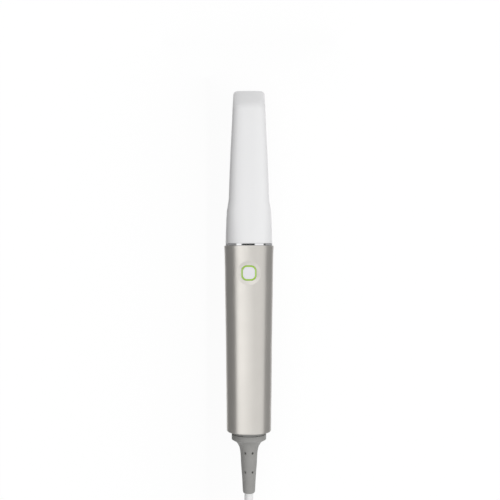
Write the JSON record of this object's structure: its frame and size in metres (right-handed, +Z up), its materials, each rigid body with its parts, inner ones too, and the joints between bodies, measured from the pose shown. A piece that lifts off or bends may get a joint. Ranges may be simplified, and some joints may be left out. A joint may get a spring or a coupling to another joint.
{
  "type": "intraoral scanner",
  "caption": "Hand-held dental scanning wand with a removable slanted tip, satin metal handle, push button in a light ring, rubber cable boot and a folded cable.",
  "frame": {"origin": "on the surface the wand lies on, under the middle of its length and width without the free cable", "axes": "+Y along the wand towards the tip's end, +Z up through the button, +X to the right seen from above with the tip up"},
  "size_m": [0.0522, 0.4374, 0.0342],
  "materials": {
    "satin_silver": "satin anodised",
    "polished_trim": "polished",
    "black_polymer": "matt",
    "coated_glass": "coated",
    "seal_rubber": "matt",
    "green_light": "translucent, lit",
    "board_laminate": "satin",
    "bare_aluminium": "machined",
    "bright_steel": "plain",
    "white_polymer": "soft gloss",
    "grey_rubber": "matt",
    "cable_jacket": "satin",
    "front_mirror": "mirror"
  },
  "bodies": {
    "handle": {"housing": "satin_silver", "trim_ring": "polished_trim", "nose": "black_polymer", "nose_window": "coated_glass", "nose_seal": "seal_rubber", "light_ring": "green_light", "switch_body": "black_polymer", "switch_board": "board_laminate", "optics_carrier": "bare_aluminium", "camera_left_barrel": "black_polymer", "camera_right_barrel": "black_polymer", "camera_left_lens": "coated_glass", "camera_right_lens": "coated_glass", "camera_left_board": "board_laminate", "camera_right_board": "board_laminate", "projector_barrel": "black_polymer", "projector_lens": "coated_glass", "projector_body": "black_polymer", "led_board": "board_laminate", "heat_sink": "bare_aluminium", "inner_frame": "bare_aluminium", "main_board": "board_laminate", "processor": "black_polymer", "shield_can": "bright_steel", "memory_left": "black_polymer", "memory_right": "black_polymer", "board_connector": "white_polymer", "board_screw_1_left": "bright_steel", "board_screw_1_right": "bright_steel", "board_screw_2_left": "bright_steel", "board_screw_2_right": "bright_steel", "rear_cap": "black_polymer", "cable_boot": "grey_rubber", "cable_clamp": "black_polymer", "cable_inner": "cable_jacket", "cord_lead": "cable_jacket", "cord_hank": "cable_jacket", "cord_tie": "seal_rubber", "cord_tail": "cable_jacket", "plug_relief": "black_polymer", "plug_body": "black_polymer", "plug_shell": "bright_steel", "plug_tongue": "black_polymer", "clamp_screw_left": "bright_steel", "clamp_screw_right": "bright_steel"},
    "tip": {"tip_sleeve": "white_polymer", "tip_mirror": "front_mirror"},
    "button": {"button_cap": "white_polymer", "switch_plunger": "black_polymer"}
  },
  "joints": [
    {"name": "tip_slide", "type": "slide", "parent": "handle", "child": "tip", "axis": [0, 1, 0], "range_m": [0, 0.07]},
    {"name": "button_press", "type": "slide", "parent": "handle", "child": "button", "axis": [0, 0, -1], "range_m": [0, 0.0005], "stiffness_N_per_m": 1000}
  ]
}
